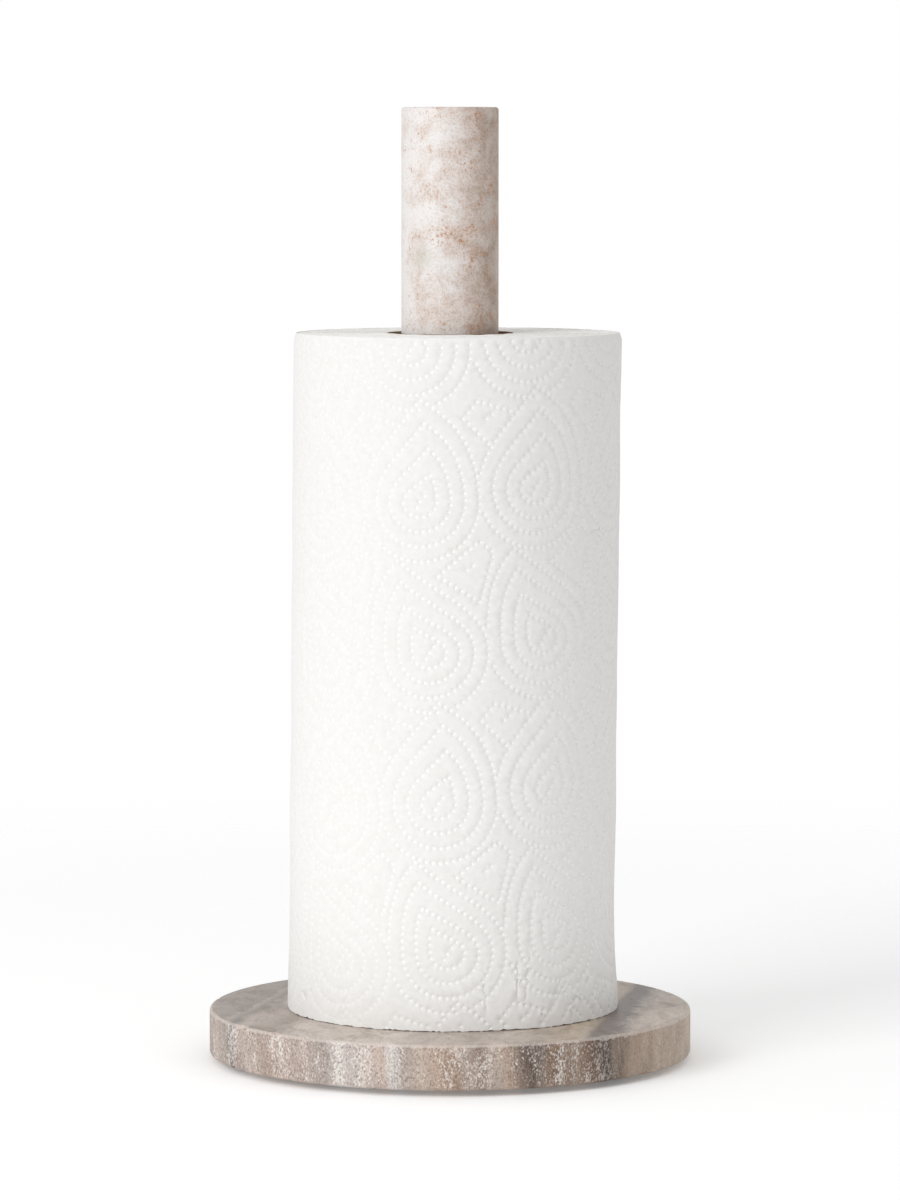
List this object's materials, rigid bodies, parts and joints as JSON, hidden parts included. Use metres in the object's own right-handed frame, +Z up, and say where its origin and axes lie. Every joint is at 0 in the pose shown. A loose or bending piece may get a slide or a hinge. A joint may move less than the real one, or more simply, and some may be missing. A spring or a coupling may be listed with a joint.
{
  "type": "paper towel holder",
  "caption": "Countertop paper towel holder: a plain marble post bolted to a round marble base, loaded with an embossed roll that turns on the post and lifts off.",
  "frame": {"origin": "on the post's axis, in the plane that the rubber feet stand on", "axes": "+Z up along the post; -Y towards the viewer, +X to the viewer's right"},
  "size_m": [0.16, 0.16, 0.315],
  "materials": {
    "base_marble": "honed banded marble",
    "post_marble": "honed mottled marble",
    "insert_brass": "turned and knurled",
    "cured_epoxy": "cast",
    "zinc_steel": "zinc plated",
    "black_rubber": "die-cut sheet",
    "foot_rubber": "moulded",
    "core_board": "spiral wound board",
    "towel_paper": "embossed tissue"
  },
  "bodies": {
    "stand": {"base_disc": "base_marble", "post": "post_marble", "threaded_insert": "insert_brass", "insert_epoxy": "cured_epoxy", "clamp_screw": "zinc_steel", "steel_washer": "zinc_steel", "cushion_washer": "black_rubber", "post_gasket": "black_rubber", "foot_pad_1": "foot_rubber", "foot_pad_2": "foot_rubber", "foot_pad_3": "foot_rubber", "foot_pad_4": "foot_rubber"},
    "core": {"core_inner_ply": "core_board", "core_outer_ply": "core_board"},
    "paper": {"paper_winding": "towel_paper", "outer_turn": "towel_paper"}
  },
  "joints": [
    {"name": "roll_lift", "type": "slide", "parent": "stand", "child": "core", "axis": [0, 0, 1], "range_m": [0, 0.3]},
    {"name": "roll_spin", "type": "hinge", "parent": "core", "child": "paper", "pos_m": [0, 0, 0.129], "axis": [0, 0, 1], "continuous": true}
  ]
}
